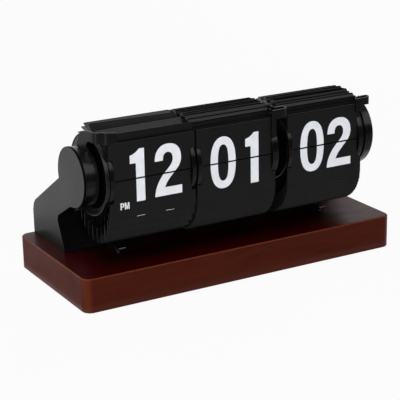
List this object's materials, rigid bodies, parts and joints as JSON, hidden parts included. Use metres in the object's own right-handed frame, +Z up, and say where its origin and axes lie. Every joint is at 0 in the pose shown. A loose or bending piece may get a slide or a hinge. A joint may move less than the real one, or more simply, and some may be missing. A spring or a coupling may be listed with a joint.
{
  "type": "flip clock with calendar",
  "caption": "Desk flip clock: drums of leaves for the hour, the minute and the day of the month, on a steel axle above a wooden base.",
  "frame": {"origin": "centre of the underside of the base", "axes": "+X along the length of the base, to the viewer's right; +Y towards the back; +Z up"},
  "size_m": [0.3444, 0.152, 0.1635],
  "materials": {
    "varnished_wood": "dark red-brown wood under a clear satin varnish",
    "felt": "dark pressed felt",
    "steel": "bright turned steel",
    "case_plastic": "black moulded plastic, fine satin grain",
    "wheel_plastic": "black moulded plastic, smooth satin",
    "leaf_plastic": "thin charcoal plastic sheet, matt",
    "digit_print": "screen-printed white ink",
    "catch_plastic": "black springy strip, satin",
    "gear_plastic": "natural acetal",
    "brass": "turned brass",
    "plated_spring": "nickel-plated spring steel",
    "battery_jacket": "plain printed sleeve on a steel can",
    "board": "green lacquered circuit board"
  },
  "bodies": {
    "stand": {"wooden_base": "varnished_wood", "felt_sheet": "felt", "base_screws": "steel", "floor_plate": "case_plastic", "left_foot": "case_plastic", "right_foot": "case_plastic", "left_cover": "case_plastic", "gear_housing": "case_plastic", "idler_pins": "steel", "rear_housing": "case_plastic", "battery_tray": "case_plastic", "battery_cell": "battery_jacket", "battery_contact": "plated_spring", "battery_spring": "plated_spring", "step_motor": "case_plastic", "circuit_board": "board", "axle": "steel", "centre_bracket": "case_plastic", "right_arm": "case_plastic", "hour_upper_leaves": "leaf_plastic", "hour_lower_leaves": "leaf_plastic", "hour_catch": "catch_plastic", "minute_upper_leaves": "leaf_plastic", "minute_lower_leaves": "leaf_plastic", "minute_catch": "catch_plastic", "date_upper_leaves": "leaf_plastic", "date_lower_leaves": "leaf_plastic", "date_catch": "catch_plastic"},
    "minute_wheel": {"minute_gear": "gear_plastic", "minute_arbor": "wheel_plastic", "minute_left_disc": "wheel_plastic", "minute_right_disc": "wheel_plastic", "minute_core": "wheel_plastic"},
    "hour_wheel": {"hour_flange": "wheel_plastic", "hour_left_disc": "wheel_plastic", "hour_right_disc": "wheel_plastic", "hour_core": "wheel_plastic"},
    "date_wheel": {"date_left_disc": "wheel_plastic", "date_right_disc": "wheel_plastic", "date_core": "wheel_plastic", "date_knob": "wheel_plastic"},
    "idler_upper": {"idler_gear_upper": "gear_plastic"},
    "idler_middle": {"idler_gear_middle": "gear_plastic"},
    "idler_lower": {"idler_gear_lower": "gear_plastic"},
    "pinion": {"motor_pinion": "brass"},
    "set_wheel": {"set_thumbwheel": "case_plastic", "set_gear": "gear_plastic"},
    "hour_leaf": {"hour_falling_leaf": "leaf_plastic"},
    "minute_leaf": {"minute_falling_leaf": "leaf_plastic"},
    "date_leaf": {"date_falling_leaf": "leaf_plastic"},
    "door": {"battery_door": "case_plastic"}
  },
  "joints": [
    {"name": "minute_turn", "type": "hinge", "parent": "stand", "child": "minute_wheel", "pos_m": [0, -0.0225, 0.1157], "axis": [1, 0, 0], "continuous": true},
    {"name": "hour_turn", "type": "hinge", "parent": "stand", "child": "hour_wheel", "pos_m": [-0.0904, -0.0225, 0.1157], "axis": [1, 0, 0], "continuous": true},
    {"name": "date_turn", "type": "hinge", "parent": "stand", "child": "date_wheel", "pos_m": [0.1015, -0.0225, 0.1157], "axis": [1, 0, 0], "continuous": true},
    {"name": "idler_upper_turn", "type": "hinge", "parent": "stand", "child": "idler_upper", "pos_m": [-0.15, 0.00207, 0.09279], "axis": [1, 0, 0], "continuous": true},
    {"name": "idler_middle_turn", "type": "hinge", "parent": "stand", "child": "idler_middle", "pos_m": [-0.15, 0.02101, 0.08082], "axis": [1, 0, 0], "continuous": true},
    {"name": "idler_lower_turn", "type": "hinge", "parent": "stand", "child": "idler_lower", "pos_m": [-0.15, 0.03994, 0.06885], "axis": [1, 0, 0], "continuous": true},
    {"name": "pinion_turn", "type": "hinge", "parent": "stand", "child": "pinion", "pos_m": [-0.15, 0.05052, 0.05579], "axis": [1, 0, 0], "continuous": true},
    {"name": "set_wheel_turn", "type": "hinge", "parent": "stand", "child": "set_wheel", "pos_m": [-0.15, 0.0625, 0.0519], "axis": [1, 0, 0], "continuous": true},
    {"name": "hour_leaf_fall", "type": "hinge", "parent": "stand", "child": "hour_leaf", "pos_m": [-0.0904, -0.05819, 0.1204], "axis": [1, 0, 0], "range_deg": [0, 171]},
    {"name": "minute_leaf_fall", "type": "hinge", "parent": "stand", "child": "minute_leaf", "pos_m": [0, -0.05845, 0.11758], "axis": [1, 0, 0], "range_deg": [0, 171]},
    {"name": "date_leaf_fall", "type": "hinge", "parent": "stand", "child": "date_leaf", "pos_m": [0.1015, -0.05845, 0.11752], "axis": [1, 0, 0], "range_deg": [0, 171]},
    {"name": "door_open", "type": "hinge", "parent": "stand", "child": "door", "pos_m": [0, 0.0721, 0.04225], "axis": [-1, 0, 0], "range_deg": [0, 100]}
  ],
  "couplings": [
    {"joint": "hour_turn", "follows": "minute_turn", "ratio": 0.041667},
    {"joint": "idler_upper_turn", "follows": "minute_turn", "ratio": -2},
    {"joint": "idler_middle_turn", "follows": "minute_turn", "ratio": 2},
    {"joint": "idler_lower_turn", "follows": "minute_turn", "ratio": -2},
    {"joint": "pinion_turn", "follows": "minute_turn", "ratio": 4},
    {"joint": "set_wheel_turn", "follows": "minute_turn", "ratio": -3.2}
  ]
}
